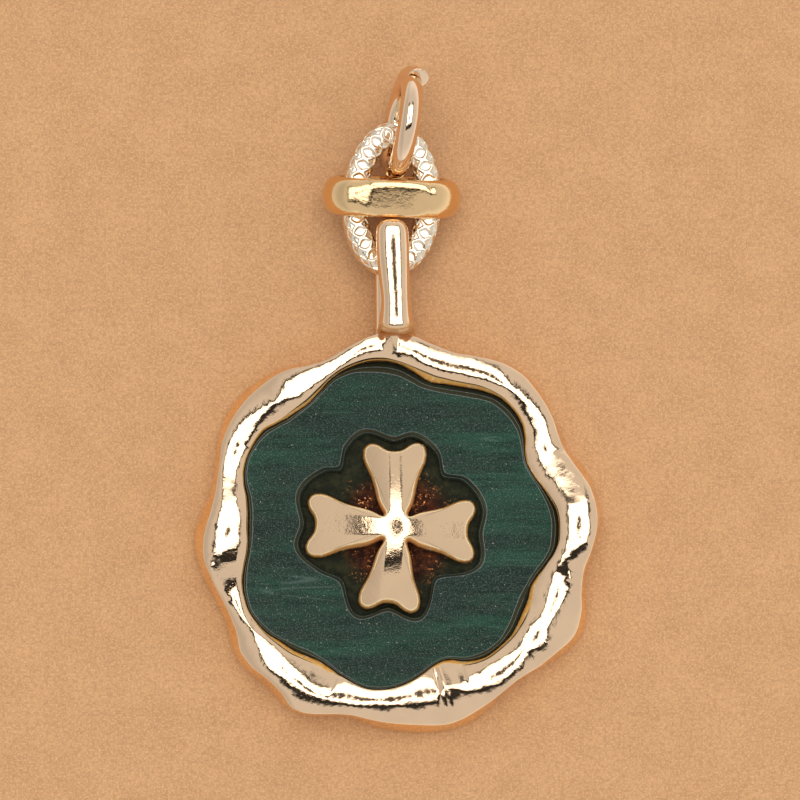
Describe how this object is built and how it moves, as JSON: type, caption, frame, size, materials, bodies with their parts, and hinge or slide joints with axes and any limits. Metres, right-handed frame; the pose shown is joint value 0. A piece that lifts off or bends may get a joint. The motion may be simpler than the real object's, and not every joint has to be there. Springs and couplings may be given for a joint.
{
  "type": "medallion charm",
  "caption": "Round wavy-edged gold medallion charm with a green stone inlay and a domed clover, on a textured link with a collar and a split ring.",
  "frame": {"origin": "bottom centre of the bounding box: the charm lies face up on the plane z = 0", "axes": "+Z out of the face, +Y along the charm from the medallion to the split ring, +X to the right seen from the face"},
  "size_m": [0.0286, 0.0463, 0.0078],
  "materials": {
    "pale_gold": "polished pale champagne gold plating",
    "green_stone": "polished dark green with faint bands and fine scratches",
    "clover_gold": "polished pale champagne gold plating",
    "white_gold": "polished white gold plating over cast relief",
    "yellow_gold": "polished yellow gold plating",
    "ring_gold": "polished pale gold wire"
  },
  "bodies": {
    "root": {"frame": "pale_gold", "stone": "green_stone", "clover": "clover_gold", "link": "white_gold", "collar": "yellow_gold", "jump_ring": "ring_gold"}
  },
  "joints": []
}
